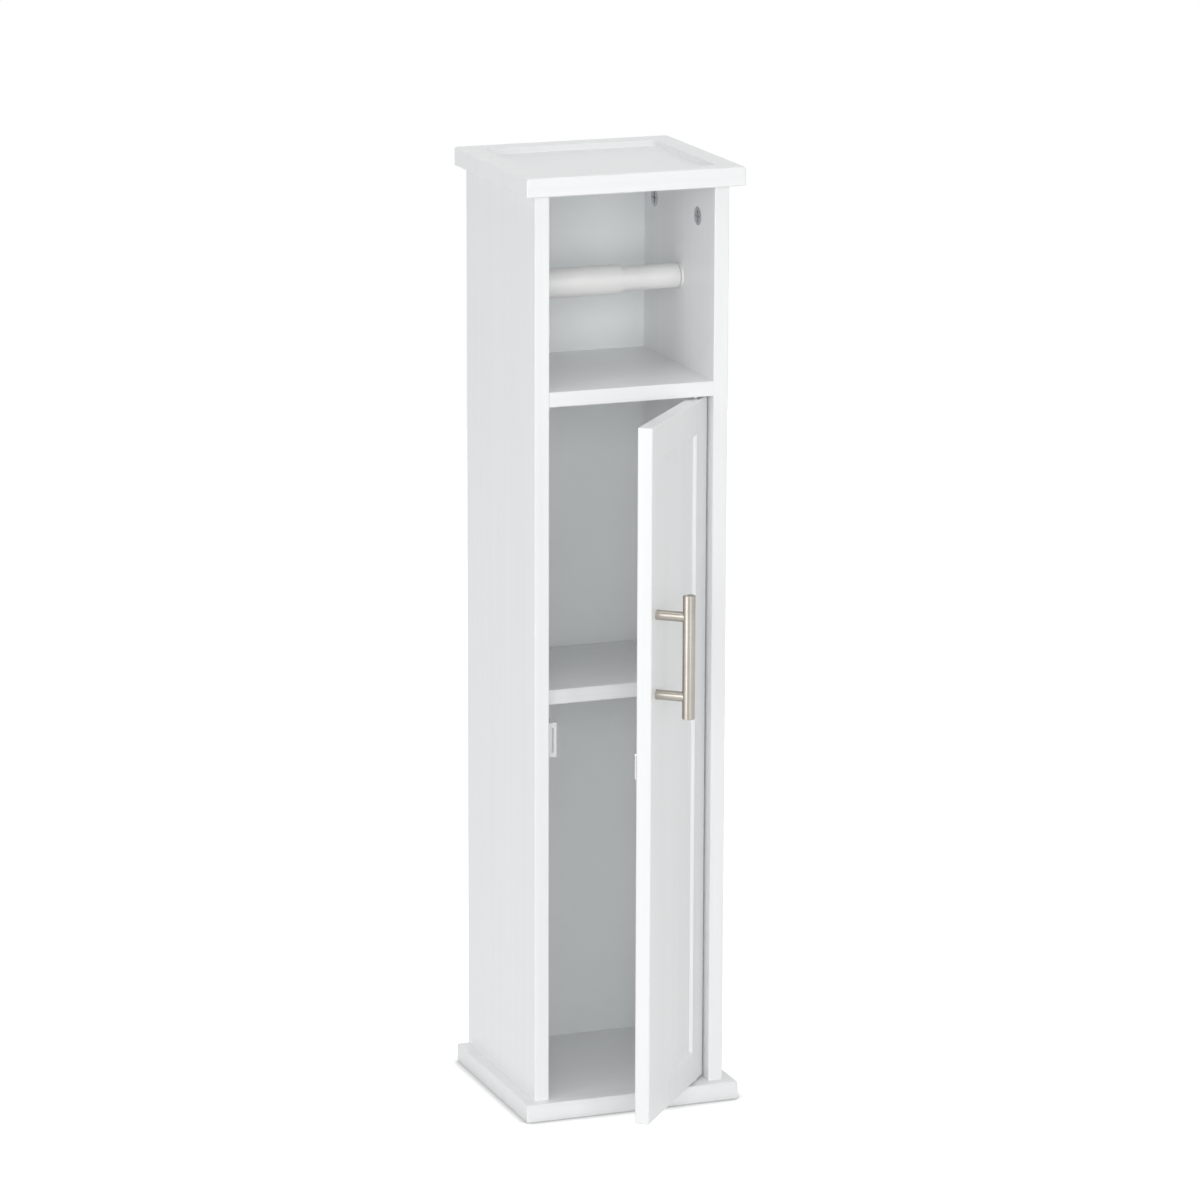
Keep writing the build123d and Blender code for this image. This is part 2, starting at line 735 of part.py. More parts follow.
# Handle screws, driven through the door from its inside
with BuildPart() as handle_screws:
    for z in post_heights:
        draw_pan_screw(
            Plane(
                origin=door_inside.from_local_coords((-handle_x, z, 0)),
                x_dir=door_inside.x_dir,
                z_dir=door_inside.z_dir,
            ),
            handle_screw_radius,
            handle_screw_head_radius,
            handle_screw_head_height,
            handle_screw_length,
        )
handle_screws.part.label = "handle_screws"

# Strike plate on the door's inside, where it meets the catch
with BuildPart() as strike_plate:
    strike_x = -door_free_x - strike_from_edge - strike_width / 2
    with BuildSketch(door_inside):
        with Locations((strike_x, catch_centre_height)):
            RectangleRounded(strike_width, strike_height, strike_corner_radius)
        with Locations((-door_free_x - strike_screw_from_edge, catch_centre_height)):
            Circle(strike_screw_radius + snug, mode=Mode.SUBTRACT)
    extrude(amount=strike_thickness)
strike_plate.part.label = "strike_plate"

# Screw that holds the strike plate
with BuildPart() as strike_screw:
    strike_screw_x = -door_free_x - strike_screw_from_edge
    draw_pan_screw(
        Plane(
            origin=door_inside.from_local_coords((strike_screw_x, catch_centre_height, strike_thickness)),
            x_dir=door_inside.x_dir,
            z_dir=door_inside.z_dir,
        ),
        strike_screw_radius,
        strike_screw_head_radius,
        strike_screw_head_height,
        strike_screw_length,
    )
strike_screw.part.label = "strike_screw"

# Spindle sleeve: a tube with a closed end and a tip on the left, and a slot for the plunger's lug
with BuildPart() as spindle_sleeve:
    sleeve_seat = Plane(origin=(-shoulder_x, spindle_y, spindle_height), x_dir=(0, 0, 1), z_dir=(1, 0, 0))
    turn_outline(
        sleeve_seat,
        [
            (0, -tip_length),
            (tip_radius, -tip_length),
            (tip_radius, 0),
            (sleeve_radius - spindle_end_chamfer, 0),
            (sleeve_radius, spindle_end_chamfer),
            (sleeve_radius, sleeve_length),
            (sleeve_bore_radius, sleeve_length),
            (sleeve_bore_radius, sleeve_end_wall),
            (0, sleeve_end_wall),
        ],
    )
    slot_end_x = lug_start_x + lug_length + moving_gap
    with BuildSketch(Plane.XY.offset(spindle_height)):
        with Locations((slot_end_x - slot_length / 2, spindle_y)):
            Rectangle(slot_length, lug_width + 2 * moving_gap)
    extrude(amount=sleeve_radius + moving_gap, mode=Mode.SUBTRACT)
spindle_sleeve.part.label = "spindle_sleeve"

# Spindle plunger: a smaller tube that slides in the sleeve, with the right tip, a lug that runs in
# the sleeve's slot and a spigot that centres the spring
with BuildPart() as spindle_plunger:
    plunger_seat = Plane(origin=(shoulder_x, spindle_y, spindle_height), x_dir=(0, 0, 1), z_dir=(-1, 0, 0))
    turn_outline(
        plunger_seat,
        [
            (0, -tip_length),
            (tip_radius, -tip_length),
            (tip_radius, 0),
            (plunger_radius - spindle_end_chamfer, 0),
            (plunger_radius, spindle_end_chamfer),
            (plunger_radius, plunger_length),
            (spigot_radius, plunger_length),
            (spigot_radius, plunger_length + spigot_length),
            (0, plunger_length + spigot_length),
        ],
    )
    bore_start = plunger_seat.offset(plunger_end_wall)
    with BuildSketch(bore_start):
        Circle(plunger_radius - plunger_wall)
    extrude(amount=plunger_length - 2 * plunger_end_wall, mode=Mode.SUBTRACT)
    with BuildSketch(Plane.XY.offset(spindle_height + plunger_radius - plunger_wall / 2)):
        with Locations((lug_start_x + lug_length / 2, spindle_y)):
            Rectangle(lug_length, lug_width)
    extrude(amount=plunger_wall / 2 + lug_height)
spindle_plunger.part.label = "spindle_plunger"

# Compression spring between the sleeve's end wall and the plunger: short straight runs of a
# six-sided wire, mitred at the corners
with BuildPart() as spindle_spring:
    with BuildLine() as coil:
        Polyline(
            *[
                (
                    spring_start_x + spring_length * step / (spring_turns * spring_steps),
                    spindle_y + spring_radius * cos(2 * pi * step / spring_steps),
                    spindle_height + spring_radius * sin(2 * pi * step / spring_steps),
                )
                for step in range(spring_turns * spring_steps + 1)
            ]
        )
    with BuildSketch(Plane(origin=coil.line @ 0, z_dir=coil.line % 0)):
        RegularPolygon(spring_wire_radius, 6)
    sweep(transition=Transition.RIGHT)
spindle_spring.part.label = "spindle_spring"

os.makedirs("parts", exist_ok=True)
export_step(base_board.part, "parts/base_board.step")
export_step(top_board.part, "parts/top_board.step")
export_step(left_side_panel.part, "parts/left_side_panel.step")
export_step(right_side_panel.part, "parts/right_side_panel.step")
export_step(back_panel.part, "parts/back_panel.step")
export_step(roll_shelf.part, "parts/roll_shelf.step")
export_step(middle_shelf.part, "parts/middle_shelf.step")
export_step(shelf_pins.part, "parts/shelf_pins.step")
export_step(top_cam_nuts.part, "parts/top_cam_nuts.step")
export_step(top_cam_bolts.part, "parts/top_cam_bolts.step")
export_step(shelf_cam_nuts.part, "parts/shelf_cam_nuts.step")
export_step(shelf_cam_bolts.part, "parts/shelf_cam_bolts.step")
export_step(top_dowels.part, "parts/top_dowels.step")
export_step(base_dowels.part, "parts/base_dowels.step")
export_step(shelf_dowels.part, "parts/shelf_dowels.step")
export_step(base_screws.part, "parts/base_screws.step")
export_step(lower_hinge_bush.part, "parts/lower_hinge_bush.step")
export_step(upper_hinge_bush.part, "parts/upper_hinge_bush.step")
export_step(left_spindle_socket.part, "parts/left_spindle_socket.step")
export_step(right_spindle_socket.part, "parts/right_spindle_socket.step")
export_step(catch_body.part, "parts/catch_body.step")
export_step(catch_magnet.part, "parts/catch_magnet.step")
export_step(catch_poles.part, "parts/catch_poles.step")
export_step(catch_screws.part, "parts/catch_screws.step")
export_step(door_panel.part, "parts/door_panel.step")
export_step(upper_hinge_pin.part, "parts/upper_hinge_pin.step")
export_step(lower_hinge_pin.part, "parts/lower_hinge_pin.step")
export_step(handle_bar.part, "parts/handle_bar.step")
export_step(handle_posts.part, "parts/handle_posts.step")
export_step(handle_screws.part, "parts/handle_screws.step")
export_step(strike_plate.part, "parts/strike_plate.step")
export_step(strike_screw.part, "parts/strike_screw.step")
export_step(spindle_sleeve.part, "parts/spindle_sleeve.step")
export_step(spindle_plunger.part, "parts/spindle_plunger.step")
export_step(spindle_spring.part, "parts/spindle_spring.step")
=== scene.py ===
import json
import logging
from dataclasses import dataclass, field
from enum import Enum
from math import atan2, cos, hypot, pi, radians, sin

import bmesh
import bpy
from mathutils import Matrix, Vector


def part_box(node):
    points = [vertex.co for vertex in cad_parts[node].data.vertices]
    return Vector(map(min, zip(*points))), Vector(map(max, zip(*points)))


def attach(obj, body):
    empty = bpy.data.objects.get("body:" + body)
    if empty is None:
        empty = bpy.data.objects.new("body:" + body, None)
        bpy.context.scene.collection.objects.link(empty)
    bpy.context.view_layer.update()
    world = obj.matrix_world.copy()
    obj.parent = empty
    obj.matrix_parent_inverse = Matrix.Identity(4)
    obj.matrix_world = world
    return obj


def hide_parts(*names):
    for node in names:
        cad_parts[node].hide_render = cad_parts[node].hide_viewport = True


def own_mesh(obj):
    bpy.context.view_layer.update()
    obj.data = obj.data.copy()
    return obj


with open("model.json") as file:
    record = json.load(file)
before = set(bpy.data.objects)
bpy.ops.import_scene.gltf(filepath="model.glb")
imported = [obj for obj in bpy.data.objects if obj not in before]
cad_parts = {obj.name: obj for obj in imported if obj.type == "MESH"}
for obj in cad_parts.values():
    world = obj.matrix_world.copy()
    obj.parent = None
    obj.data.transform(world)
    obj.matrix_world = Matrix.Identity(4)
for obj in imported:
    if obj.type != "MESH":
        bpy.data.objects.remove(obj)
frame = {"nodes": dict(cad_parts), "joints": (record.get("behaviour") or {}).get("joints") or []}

LOG = logging.getLogger("cabinet")
Colour = tuple[float, float, float, float]
Outline = list[tuple[float, float]]
TURNED_MAP = "turned"  # a turned piece's own map: first along its axis, then round it
NOISE_LOW = 0.3  # most of a noise's values lie between these two
NOISE_HIGH = 0.7
MERGE_DISTANCE = 1e-7  # vertices closer than this are one, in metres
SMOOTH_ANGLE = 32.0  # edges flatter than this are shaded smooth, in degrees


class Axis(Enum):
    """A direction along which a surface is drawn, brushed or grained."""

    X = Vector((1, 0, 0))
    Y = Vector((0, 1, 0))
    Z = Vector((0, 0, 1))


class NodeTree:
    """The node tree of one procedural material, with its surface shader ready."""

    def __init__(self, name: str) -> None:
        """Make an empty material with a principled surface.

        Args:
            name: The material's name.
        """
        self.material = bpy.data.materials.new(name)
        self.material.use_nodes = True
        self.nodes = self.material.node_tree.nodes
        self.links = self.material.node_tree.links
        self.surface = self.nodes["Principled BSDF"]

    def add(self, kind: str, **settings: object) -> bpy.types.Node:
        """Add a node and set its properties and input values.

        Args:
            kind: The node's type name.
            settings: Property names, or input names with underscores for spaces.

        Returns:
            The new node.
        """
        node = self.nodes.new(kind)
        for key, value in settings.items():
            if hasattr(node, key):
                setattr(node, key, value)
            else:
                node.inputs[key.replace("_", " ")].default_value = value
        return node

    def link(self, source: bpy.types.NodeSocket, target: bpy.types.NodeSocket) -> None:
        """Join an output to an input."""
        self.links.new(source, target)

    def stretch(self, source: bpy.types.NodeSocket, scale: Vector) -> bpy.types.NodeSocket:
        """Coordinates multiplied by a scale.

        Args:
            source: The coordinates.
            scale: The factor along each axis.

        Returns:
            The socket with the stretched coordinates.
        """
        mapping = self.add("ShaderNodeMapping", Scale=scale)
        self.link(source, mapping.inputs["Vector"])
        return mapping.outputs["Vector"]

    def place(self, scale: Vector) -> bpy.types.NodeSocket:
        """Object coordinates, stretched.

        Args:
            scale: How often the pattern repeats along each axis, in steps to the metre.

        Returns:
            The socket with the stretched coordinates.
        """
        source = self.add("ShaderNodeTexCoord")
        return self.stretch(source.outputs["Object"], scale)

    def rings(self, pitch: float, length: float) -> bpy.types.NodeSocket:
        """Coordinates that run fast along a turned piece's own axis, and slowly round it.

        Args:
            pitch: The distance between two lines, in metres.
            length: The length of a line, in metres.

        Returns:
            The socket with the stretched coordinates.
        """
        own = self.add("ShaderNodeUVMap", uv_map=TURNED_MAP)
        turned = self.add("ShaderNodeSeparateXYZ")
        self.link(own.outputs["UV"], turned.inputs["Vector"])
        source = self.add("ShaderNodeTexCoord")
        space = self.add("ShaderNodeSeparateXYZ")
        self.link(source.outputs["Object"], space.inputs["Vector"])
        joined = self.add("ShaderNodeCombineXYZ")
        self.link(turned.outputs["X"], joined.inputs["X"])
        self.link(space.outputs["X"], joined.inputs["Y"])
        self.link(space.outputs["Z"], joined.inputs["Z"])
        return self.stretch(joined.outputs["Vector"], across(pitch, length))

    def noise(
        self, at: bpy.types.NodeSocket, detail: float, roughness: float = 0.5
    ) -> bpy.types.NodeSocket:
        """Noise of scale one on stretched coordinates.

        Args:
            at: The stretched coordinates.
            detail: The number of finer layers.
            roughness: How strong the finer layers are.

        Returns:
            The socket with the noise's value.
        """
        node = self.add("ShaderNodeTexNoise", Scale=1.0, Detail=detail, Roughness=roughness)
        self.link(at, node.inputs["Vector"])
        return node.outputs["Fac"]

    def roughen(self, value: bpy.types.NodeSocket, low: float, high: float) -> None:
        """Vary the surface's roughness with a noise.

        Args:
            value: The noise.
            low: The roughness where the noise is low.
            high: The roughness where the noise is high.
        """
        node = self.add(
            "ShaderNodeMapRange", From_Min=NOISE_LOW, From_Max=NOISE_HIGH, To_Min=low, To_Max=high
        )
        self.link(value, node.inputs["Value"])
        self.link(node.outputs["Result"], self.surface.inputs["Roughness"])

    def tint(self, value: bpy.types.NodeSocket, low: Colour, high: Colour) -> None:
        """Colour the surface between two tones.

        Args:
            value: The noise.
            low: The colour where the noise is low.
            high: The colour where the noise is high.
        """
        ramp = self.add("ShaderNodeValToRGB")
        ramp.color_ramp.elements[0].color = low
        ramp.color_ramp.elements[0].position = NOISE_LOW
        ramp.color_ramp.elements[1].color = high
        ramp.color_ramp.elements[1].position = NOISE_HIGH
        self.link(value, ramp.inputs["Fac"])
        self.link(ramp.outputs["Color"], self.surface.inputs["Base Color"])

    def relief(self, layers: list[tuple[bpy.types.NodeSocket, float]]) -> None:
        """Raise the surface by one bump for each layer, one on top of the other.

        Args:
            layers: A height socket and its depth in metres for each layer.
        """
        previous = None
        for height, depth in layers:
            bump = self.add("ShaderNodeBump", Strength=1.0, Distance=depth)
            self.link(height, bump.inputs["Height"])
            if previous is not None:
                self.link(previous, bump.inputs["Normal"])
            previous = bump.outputs["Normal"]
        self.link(previous, self.surface.inputs["Normal"])


def grey(value: float) -> Colour:
    """A neutral colour."""
    return (value, value, value, 1.0)


def scaled(colour: Colour, factor: float) -> Colour:
    """A colour made lighter or darker."""
    return (colour[0] * factor, colour[1] * factor, colour[2] * factor, 1.0)


def even(steps: float) -> Vector:
    """The scale of a pattern that is the same along all three axes."""
    return Vector((steps, steps, steps))


def across(pitch: float, length: float) -> Vector:
    """The scale of lines that follow each other along the first axis."""
    return Vector((1 / pitch, 1 / length, 1 / length))


def along(pitch: float, length: float, axis: Axis) -> Vector:
    """The scale of lines that run along an axis.

    Args:
        pitch: The distance between two lines, in metres.
        length: The length of a line, in metres.
        axis: The direction of the lines.

    Returns:
        The scale along each axis, in steps to the metre.
    """
    scale = even(1 / pitch)
    scale[list(Axis).index(axis)] = 1 / length
    return scale


# In a finish, pitches, lengths and depths are in metres and steps are repeats to the metre. A tone
# is a factor on the colour. Unevenness, smoother and rougher say how far the roughness varies.


@dataclass(frozen=True)
class SatinLacquer:
    """White satin lacquer on fibreboard: fine orange peel, and a faint grain along the board."""

    name: str
    colour: Colour
    grain: Axis
    roughness: float = 0.34
    grain_pitch: float = 0.0016
    grain_length: float = 0.12
    grain_depth: float = 0.000012
    peel_pitch: float = 0.0022
    peel_depth: float = 0.00002
    streak_pitch: float = 0.006
    streak_length: float = 0.35
    streak_tone: float = 0.965
    unevenness: float = 0.05
    refraction: float = 1.47

    def build(self) -> bpy.types.Material:
        """Make the material.

        Returns:
            The finished material.
        """
        tree = NodeTree(self.name)
        fine = along(self.grain_pitch, self.grain_length, self.grain)
        grain = tree.noise(tree.place(fine), detail=3.0)
        peel = tree.noise(tree.place(even(1 / self.peel_pitch)), detail=2.0)
        broad = along(self.streak_pitch, self.streak_length, self.grain)
        streaks = tree.noise(tree.place(broad), detail=3.0, roughness=0.6)
        tree.tint(streaks, scaled(self.colour, self.streak_tone), self.colour)
        tree.roughen(peel, self.roughness - self.unevenness, self.roughness + self.unevenness)
        tree.relief([(grain, self.grain_depth), (peel, self.peel_depth)])
        tree.surface.inputs["IOR"].default_value = self.refraction
        return tree.material


@dataclass(frozen=True)
class FacedHardboard:
    """Thin board with a printed white face, finely pebbled by its pressing."""

    name: str
    colour: Colour
    roughness: float = 0.5
    pebble_pitch: float = 0.0012
    pebble_depth: float = 0.00003
    cloud_steps: float = 12.0
    cloud_tone: float = 0.97
    unevenness: float = 0.06

    def build(self) -> bpy.types.Material:
        """Make the material.

        Returns:
            The finished material.
        """
        tree = NodeTree(self.name)
        pebble = tree.noise(tree.place(even(1 / self.pebble_pitch)), detail=4.0, roughness=0.6)
        cloud = tree.noise(tree.place(even(self.cloud_steps)), detail=4.0)
        tree.tint(cloud, scaled(self.colour, self.cloud_tone), self.colour)
        tree.roughen(pebble, self.roughness - self.unevenness, self.roughness + self.unevenness)
        tree.relief([(pebble, self.pebble_depth)])
        return tree.material


@dataclass(frozen=True)
class TurnedMetal:
    """Satin metal with fine lines left by a lathe round the axis of the piece."""

    name: str
    colour: Colour
    roughness: float = 0.4
    line_pitch: float = 0.00035
    line_length: float = 0.02
    line_depth: float = 0.000004
    line_tone: float = 0.9
    cloud_steps: float = 60.0
    unevenness: float = 0.04
    anisotropy: float = 1.0

    def build(self) -> bpy.types.Material:
        """Make the material.

        Returns:
            The finished material.
        """
        tree = NodeTree(self.name)
        rings = tree.rings(self.line_pitch, self.line_length)
        lines = tree.noise(rings, detail=3.0, roughness=0.6)
        cloud = tree.noise(tree.place(even(self.cloud_steps)), detail=3.0)
        tree.tint(lines, scaled(self.colour, self.line_tone), self.colour)
        tree.surface.inputs["Metallic"].default_value = 1.0
        tree.roughen(cloud, self.roughness - self.unevenness, self.roughness + self.unevenness)
        tree.surface.inputs["Anisotropic"].default_value = self.anisotropy
        tangent = tree.add("ShaderNodeTangent", direction_type="UV_MAP", uv_map=TURNED_MAP)
        tree.link(tangent.outputs["Tangent"], tree.surface.inputs["Tangent"])
        tree.relief([(lines, self.line_depth)])
        return tree.material


@dataclass(frozen=True)
class DrawnWire:
    """Bright spring wire, with fine lines that its drawing left."""

    name: str
    colour: Colour
    roughness: float = 0.25
    line_pitch: float = 0.0002
    line_length: float = 0.004
    line_depth: float = 0.000004
    line_tone: float = 0.85
    cloud_steps: float = 200.0
    smoother: float = 0.05
    rougher: float = 0.06

    def build(self) -> bpy.types.Material:
        """Make the material.

        Returns:
            The finished material.
        """
        tree = NodeTree(self.name)
        drawn = across(self.line_pitch, self.line_length)
        lines = tree.noise(tree.place(drawn), detail=3.0, roughness=0.6)
        cloud = tree.noise(tree.place(even(self.cloud_steps)), detail=3.0)
        tree.tint(lines, scaled(self.colour, self.line_tone), self.colour)
        tree.surface.inputs["Metallic"].default_value = 1.0
        tree.roughen(cloud, self.roughness - self.smoother, self.roughness + self.rougher)
        tree.relief([(lines, self.line_depth)])
        return tree.material


@dataclass(frozen=True)
class CastMetal:
    """Tumbled casting or plated steel, slightly mottled."""

    name: str
    colour: Colour
    roughness: float = 0.38
    mottle_pitch: float = 0.0006
    mottle_depth: float = 0.00002
    mottle_tone: float = 0.8
    smoother: float = 0.08
    rougher: float = 0.1

    def build(self) -> bpy.types.Material:
        """Make the material.

        Returns:
            The finished material.
        """
        tree = NodeTree(self.name)
        mottle = tree.noise(tree.place(even(1 / self.mottle_pitch)), detail=4.0, roughness=0.65)
        tree.tint(mottle, scaled(self.colour, self.mottle_tone), self.colour)
        tree.surface.inputs["Metallic"].default_value = 1.0
        tree.roughen(mottle, self.roughness - self.smoother, self.roughness + self.rougher)
        tree.relief([(mottle, self.mottle_depth)])
        return tree.material


@dataclass(frozen=True)
class MouldedPlastic:
    """Injection moulded plastic, with a fine spark-eroded texture."""

    name: str
    colour: Colour
    roughness: float = 0.35
    texture_pitch: float = 0.0005
    texture_depth: float = 0.000012
    flow_steps: float = 40.0
    flow_tone: float = 0.95
    unevenness: float = 0.05
    glow: float = 0.0
    glow_depth: float = 0.002

    def build(self) -> bpy.types.Material:
        """Make the material.

        Returns:
            The finished material.
        """
        tree = NodeTree(self.name)
        texture = tree.noise(tree.place(even(1 / self.texture_pitch)), detail=3.0)
        flow = tree.noise(tree.place(even(self.flow_steps)), detail=3.0)
        tree.tint(flow, scaled(self.colour, self.flow_tone), self.colour)
        tree.roughen(texture, self.roughness - self.unevenness, self.roughness + self.unevenness)
        tree.surface.inputs["Subsurface Weight"].default_value = self.glow
        tree.surface.inputs["Subsurface Scale"].default_value = self.glow_depth
        tree.relief([(texture, self.texture_depth)])
        return tree.material


@dataclass(frozen=True)
class BareWood:
    """Bare beech with long pores along one axis."""

    name: str
    colour: Colour
    grain: Axis
    roughness: float = 0.62
    pore_pitch: float = 0.0007
    pore_length: float = 0.012
    pore_depth: float = 0.00004
    pore_tone: float = 0.7
    unevenness: float = 0.1

    def build(self) -> bpy.types.Material:
        """Make the material.

        Returns:
            The finished material.
        """
        tree = NodeTree(self.name)
        lines = along(self.pore_pitch, self.pore_length, self.grain)
        pores = tree.noise(tree.place(lines), detail=5.0, roughness=0.6)
        tree.tint(pores, scaled(self.colour, self.pore_tone), self.colour)
        tree.roughen(pores, self.roughness - self.unevenness, self.roughness + self.unevenness)
        tree.relief([(pores, self.pore_depth)])
        return tree.material


Finish = (
    SatinLacquer | FacedHardboard | TurnedMetal | DrawnWire | CastMetal | MouldedPlastic | BareWood
)


LACQUER_WHITE = (0.875, 0.885, 0.89, 1.0)
LACQUER_UPRIGHT = SatinLacquer("satin_lacquer_upright", LACQUER_WHITE, Axis.Z)
LACQUER_FLAT = SatinLacquer("satin_lacquer_flat", LACQUER_WHITE, Axis.X)
WHITE_HARDBOARD = FacedHardboard("white_hardboard", (0.86, 0.885, 0.89, 1.0))
NICKEL = (0.48, 0.455, 0.41, 1.0)
SATIN_NICKEL = TurnedMetal("satin_nickel", NICKEL)
BRIGHT_ZINC = CastMetal("bright_zinc", (0.62, 0.63, 0.64, 1.0))
PLATED_STEEL = CastMetal(
    "plated_steel", (0.56, 0.57, 0.58, 1.0), roughness=0.28, mottle_depth=0.000008
)
SPRING_WIRE = DrawnWire("spring_wire", (0.5, 0.5, 0.52, 1.0))
WHITE_MOULDING = MouldedPlastic("white_moulding", (0.82, 0.82, 0.81, 1.0))
NATURAL_NYLON = MouldedPlastic(
    "natural_nylon", (0.74, 0.73, 0.68, 1.0), roughness=0.42, glow=0.2
)
DARK_FERRITE = MouldedPlastic(
    "dark_ferrite", (0.045, 0.045, 0.05, 1.0), roughness=0.6, texture_depth=0.00003
)
BEECH = (0.62, 0.42, 0.24, 1.0)
BEECH_UPRIGHT = BareWood("beech_upright", BEECH, Axis.Z)
BEECH_FLAT = BareWood("beech_flat", BEECH, Axis.X)


class Paint:
    """The finishes of the cabinet, each built once."""

    def __init__(self) -> None:
        """Start with no material made."""
        self.made: dict[str, bpy.types.Material] = {}

    def coat(self, piece: bpy.types.Object, finish: Finish) -> None:
        """Give a piece its finish in every slot.

        Args:
            piece: The object to dress.
            finish: One of the finish classes.
        """
        if finish.name not in self.made:
            self.made[finish.name] = finish.build()
        material = self.made[finish.name]
        if not piece.data.materials:
            piece.data.materials.append(material)
        for slot in piece.material_slots:
            slot.material = material


class Workbench:
    """Makes pieces out of bmeshes and dresses the nodes that stay."""

    def __init__(self, paint: Paint) -> None:
        """Keep the finishes at hand.

        Args:
            paint: The finishes of the cabinet.
        """
        self.paint = paint

    def dress(self, node: str, finish: Finish) -> None:
        """Give a node of the frame its finish.

        Args:
            node: The node's name.
            finish: One of the finish classes.
        """
        self.paint.coat(frame["nodes"][node], finish)
        LOG.info("dressed %s with %s", node, finish.name)

    def piece(
        self,
        mesh: bmesh.types.BMesh,
        name: str,
        node: str,
        body: str,
        slot: str,
        finish: Finish,
    ) -> bpy.types.Object:
        """Turn a bmesh into a piece that stands for a node.

        Args:
            mesh: The shape, in its place, in metres.
            name: The piece's name.
            node: The node that the piece stands for.
            body: The body that it rides on.
            slot: The material slot of its finish; not used.
            finish: One of the finish classes.

        Returns:
            The piece.
        """
        bmesh.ops.remove_doubles(mesh, verts=mesh.verts, dist=MERGE_DISTANCE)
        bmesh.ops.recalc_face_normals(mesh, faces=mesh.faces)
        for face in mesh.faces:
            face.smooth = True
        for edge in mesh.edges:
            flat = edge.calc_face_angle(0.0) < radians(SMOOTH_ANGLE)
            edge.smooth = len(edge.link_faces) == 2 and flat
        data = bpy.data.meshes.new(name)
        mesh.to_mesh(data)
        mesh.free()
        made = bpy.data.objects.new(name, data)
        bpy.context.scene.collection.objects.link(made)
        self.paint.coat(made, finish)
        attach(made, body)
        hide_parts(node)
        LOG.info("made %s for %s, %d faces", name, node, len(data.polygons))
        return made


def spin_outline(
    mesh: bmesh.types.BMesh, outline: Outline, seat: Matrix, steps: int
) -> list[bmesh.types.BMFace]:
    """Spin a half outline round the seat's third axis.

    Args:
        mesh: The bmesh that gets the shape.
        outline: Radius and height pairs, in metres, from pole to pole.
        seat: The place and direction of the turned shape.
        steps: The number of facets round the shape.

    Returns:
        The new faces.
    """
    before = set(mesh.faces)
    verts = [mesh.verts.new(seat @ Vector((r, 0, h))) for r, h in outline]
    edges = [mesh.edges.new(pair) for pair in zip(verts, verts[1:])]
    centre = seat.translation
    axis = seat.to_3x3() @ Vector((0, 0, 1))
    bmesh.ops.spin(
        mesh,
        geom=verts + edges,
        cent=centre,
        axis=axis,
        angle=2 * pi,
        steps=steps,
        use_merge=True,
    )
    bmesh.ops.remove_doubles(mesh, verts=mesh.verts, dist=MERGE_DISTANCE)
    return [face for face in mesh.faces if face not in before]


def map_turned(
    faces: list[bmesh.types.BMFace], layer: bmesh.types.BMLayerItem, seat: Matrix, length: float
) -> None:
    """Lay a map on a turned shape that runs along its axis, and inwards over its ends.

    Args:
        faces: The faces of the shape.
        layer: The layer that gets the map.
        seat: The place and direction of the turned shape, at its lower end.
        length: The length of the shape, in metres.
    """
    back = seat.inverted()
    for face in faces:
        for loop in face.loops:
            local = back @ loop.vert.co
            radius = hypot(local.x, local.y)
            height = local.z + (radius if local.z < length / 2 else -radius)
            loop[layer].uv = (height, atan2(local.y, local.x) / (2 * pi))


def soften(mesh: bmesh.types.BMesh, width: float, segments: int, least: float = 40.0) -> None:
    """Round every edge that is sharper than an angle.

    Args:
        mesh: The bmesh to round.
        width: The width of the rounding, in metres.
        segments: The number of facets across the rounding.
        least: The least angle of an edge that is rounded, in degrees.
    """
    sharp = [
        edge
        for edge in mesh.edges
        if len(edge.link_faces) == 2 and edge.calc_face_angle(0.0) > radians(least)
    ]
    bmesh.ops.bevel(
        mesh,
        geom=sharp,
        offset=width,
        offset_type="OFFSET",
        affect="EDGES",
        segments=segments,
        profile=0.5,
        material=-1,
    )


def seat_at(origin: Vector, normal: Vector, along: Vector) -> Matrix:
    """A place with its third axis along a normal and its first axis along a direction.

    Args:
        origin: The place's origin, in metres.
        normal: The direction of the third axis.
        along: The direction of the first axis.

    Returns:
        The place's matrix.
    """
    third = normal.normalized()
    first = (along - along.dot(third) * third).normalized()
    second = third.cross(first)
    turn = Matrix((first, second, third)).transposed().to_4x4()
    return Matrix.Translation(origin) @ turn


def joint_named(name: str) -> dict:
    """The frame's record of a joint."""
    return next(joint for joint in frame["joints"] if joint["name"] == name)


@dataclass
class Carcass:
    """The boards, panels and shelves, and the joinery hidden in them."""

    bench: Workbench
    uprights: tuple[str, ...] = ("left_side_panel", "right_side_panel")
    flats: tuple[str, ...] = ("base_board", "top_board", "roll_shelf", "middle_shelf")
    upright_dowels: tuple[str, ...] = ("top_dowels", "base_dowels")
    bolts: tuple[str, ...] = ("top_cam_bolts", "shelf_cam_bolts", "base_screws", "shelf_pins")

    def build(self) -> None:
        """Dress the boards and their hidden joinery."""
        for node in self.uprights:
            self.bench.dress(node, LACQUER_UPRIGHT)
        for node in self.flats:
            self.bench.dress(node, LACQUER_FLAT)
        self.bench.dress("back_panel", WHITE_HARDBOARD)
        for node in self.upright_dowels:
            self.bench.dress(node, BEECH_UPRIGHT)
        self.bench.dress("shelf_dowels", BEECH_FLAT)
        for node in self.bolts:
            self.bench.dress(node, PLATED_STEEL)
        self.bench.dress("top_cam_nuts", BRIGHT_ZINC)
        self.bench.dress("shelf_cam_nuts", BRIGHT_ZINC)


